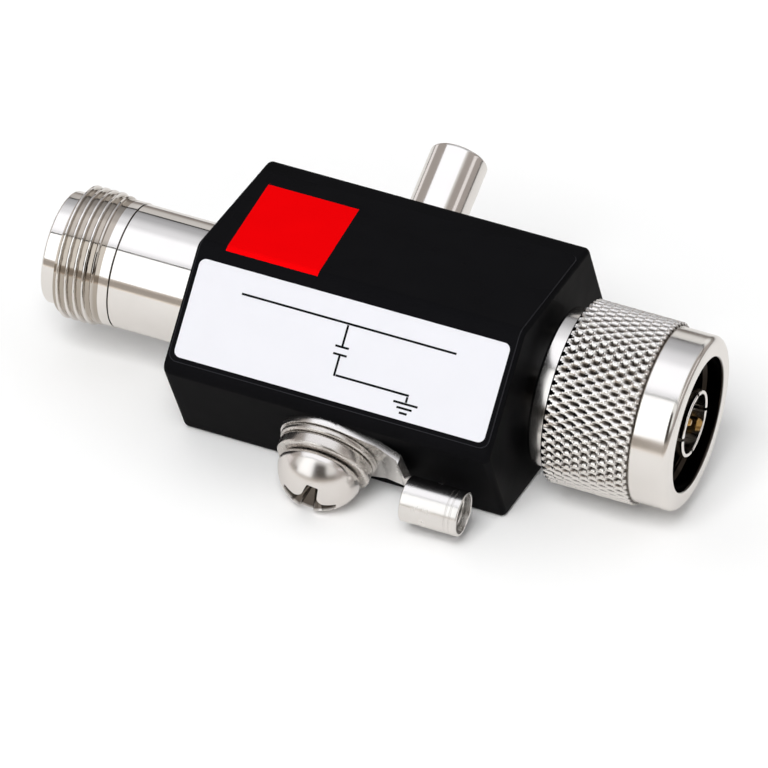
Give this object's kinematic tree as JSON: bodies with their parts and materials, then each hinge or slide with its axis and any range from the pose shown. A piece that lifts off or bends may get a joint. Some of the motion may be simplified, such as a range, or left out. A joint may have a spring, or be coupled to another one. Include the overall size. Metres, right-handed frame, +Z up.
{
  "type": "coaxial lightning arrestor",
  "caption": "Hexagonal in-line surge arrestor for a coaxial cable, with a threaded jack, a knurled plug nut, a screwed gas tube cap and an earth screw with a crimp lug.",
  "frame": {"origin": "middle of the housing's flat bottom face, on which the part rests", "axes": "+X along the coaxial line from the jack to the plug, +Z up, -Y towards the label and the earth screw"},
  "size_m": [0.0789, 0.0447, 0.029],
  "materials": {
    "black_paint": "satin",
    "label_print": "gloss",
    "nickel_plate": "polished",
    "gold_plate": "polished",
    "silver_plate": "satin",
    "white_insulator": "satin",
    "red_rubber": "matte",
    "white_ceramic": "satin",
    "copper": "satin",
    "spring_steel": "satin",
    "plated_steel": "polished",
    "tinned_copper": "satin"
  },
  "bodies": {
    "housing": {"housing": "black_paint", "label_film": "label_print", "jack_shell": "nickel_plate", "jack_insulator": "white_insulator", "jack_contact": "gold_plate", "plug_body": "nickel_plate", "plug_insulator": "white_insulator", "plug_pin": "gold_plate", "gasket": "red_rubber", "retaining_ring": "spring_steel", "centre_conductor": "silver_plate"},
    "nut": {"coupling_nut": "nickel_plate"},
    "gas_tube": {"tube_inner_electrode": "copper", "tube_ceramic": "white_ceramic", "tube_outer_electrode": "copper", "contact_spring": "spring_steel"},
    "cap": {"tube_cap": "nickel_plate"},
    "lug": {"ground_lug": "tinned_copper"},
    "washers": {"flat_washer": "plated_steel", "spring_washer": "plated_steel"},
    "screw": {"ground_screw": "plated_steel"}
  },
  "joints": [
    {"name": "nut_spin", "type": "hinge", "parent": "housing", "child": "nut", "pos_m": [0, 0, 0.0125], "axis": [1, 0, 0], "continuous": true},
    {"name": "lug_swing", "type": "hinge", "parent": "housing", "child": "lug", "pos_m": [0, -0.01509, 0.00675], "axis": [0, -0.8269, -0.5623], "continuous": true},
    {"name": "screw_travel", "type": "slide", "parent": "housing", "child": "washers", "axis": [0, -0.8269, -0.5623], "range_m": [0, 0.004]},
    {"name": "screw_turn", "type": "hinge", "parent": "washers", "child": "screw", "pos_m": [0, -0.01509, 0.00675], "axis": [0, -0.8269, -0.5623], "range_deg": [0, 1440]},
    {"name": "cap_travel", "type": "slide", "parent": "housing", "child": "gas_tube", "axis": [0, 0.8269, 0.5623], "range_m": [0, 0.0045]},
    {"name": "cap_turn", "type": "hinge", "parent": "gas_tube", "child": "cap", "pos_m": [0, 0, 0.0125], "axis": [0, 0.8269, 0.5623], "range_deg": [0, 2160]}
  ],
  "couplings": [
    {"joint": "screw_turn", "follows": "screw_travel", "rad_per_m": 6283.2},
    {"joint": "cap_turn", "follows": "cap_travel", "rad_per_m": 8377.6}
  ]
}
